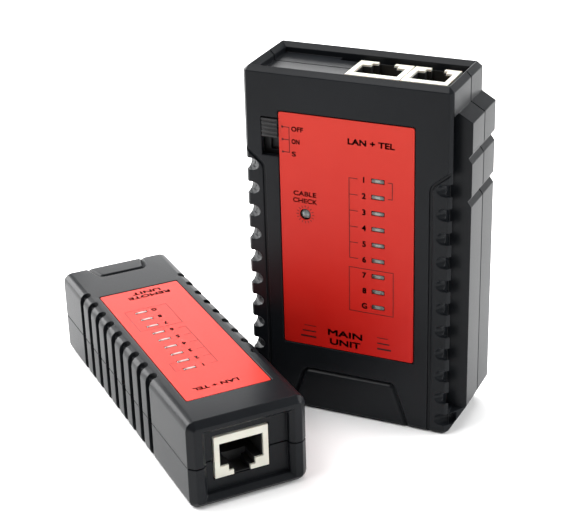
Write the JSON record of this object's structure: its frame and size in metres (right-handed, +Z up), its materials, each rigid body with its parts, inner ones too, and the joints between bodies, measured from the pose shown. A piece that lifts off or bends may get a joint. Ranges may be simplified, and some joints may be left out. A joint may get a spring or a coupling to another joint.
{
  "type": "network cable tester",
  "caption": "Two-piece network cable tester: upright main unit with modular sockets, slide switch and lamp column, and a separate remote terminator unit.",
  "frame": {"origin": "middle of the main unit's base, on the surface that it stands on", "axes": "+Z up along the upright main unit, -Y out of the main unit's labelled front, +X towards its docking rail"},
  "size_m": [0.1321, 0.0923, 0.104],
  "materials": {
    "case_plastic": "fine moulded texture, charcoal ABS",
    "label_film": "satin red printed film",
    "jack_plastic": "cream moulded nylon",
    "contact_gold": "gold-plated contacts",
    "board_green": "green solder mask on glass-epoxy board",
    "lamp_resin": "clear-grey epoxy lens",
    "chip_black": "moulded epoxy package",
    "steel": "zinc-plated steel",
    "knob_black": "ribbed black nylon",
    "battery_wrap": "printed wrap on a metal can",
    "snap_black": "soft vinyl",
    "lead_red": "red insulation",
    "lead_black": "black insulation"
  },
  "bodies": {
    "main_unit": {"main_front_shell": "case_plastic", "main_rear_shell": "case_plastic", "main_label": "label_film", "main_switch_body": "knob_black", "main_led_1": "lamp_resin", "main_led_2": "lamp_resin", "main_led_3": "lamp_resin", "main_led_4": "lamp_resin", "main_led_5": "lamp_resin", "main_led_6": "lamp_resin", "main_led_7": "lamp_resin", "main_led_8": "lamp_resin", "main_led_g": "lamp_resin", "main_power_led": "lamp_resin", "main_circuit_board": "board_green", "main_counter_chip": "chip_black", "main_timer_chip": "chip_black", "main_case_screw_1": "steel", "main_case_screw_2": "steel", "main_case_screw_3": "steel", "main_case_screw_4": "steel", "main_lan_jack": "jack_plastic", "main_lan_contacts": "contact_gold", "main_phone_jack": "jack_plastic", "main_phone_contacts": "contact_gold", "battery_9v": "battery_wrap", "battery_snap": "snap_black", "battery_lead_positive": "lead_red", "battery_lead_negative": "lead_black"},
    "switch_knob": {"main_switch_knob": "knob_black"},
    "battery_door": {"main_battery_door": "case_plastic"},
    "remote_unit": {"remote_front_shell": "case_plastic", "remote_rear_shell": "case_plastic", "remote_label": "label_film", "remote_led_1": "lamp_resin", "remote_led_2": "lamp_resin", "remote_led_3": "lamp_resin", "remote_led_4": "lamp_resin", "remote_led_5": "lamp_resin", "remote_led_6": "lamp_resin", "remote_led_7": "lamp_resin", "remote_led_8": "lamp_resin", "remote_led_g": "lamp_resin", "remote_circuit_board": "board_green", "remote_diode_array": "chip_black", "remote_jack": "jack_plastic", "remote_contacts": "contact_gold", "remote_case_screw_1": "steel", "remote_case_screw_2": "steel"}
  },
  "joints": [
    {"name": "switch_slide", "type": "slide", "parent": "main_unit", "child": "switch_knob", "axis": [0, 0, -1], "range_m": [0, 0.0054]},
    {"name": "battery_door_lift", "type": "slide", "parent": "main_unit", "child": "battery_door", "axis": [0, 1, 0], "range_m": [0, 0.03]},
    {"name": "remote_lift", "type": "slide", "parent": "main_unit", "child": "remote_unit", "axis": [0, 0, 1], "range_m": [0, 0.12]}
  ]
}
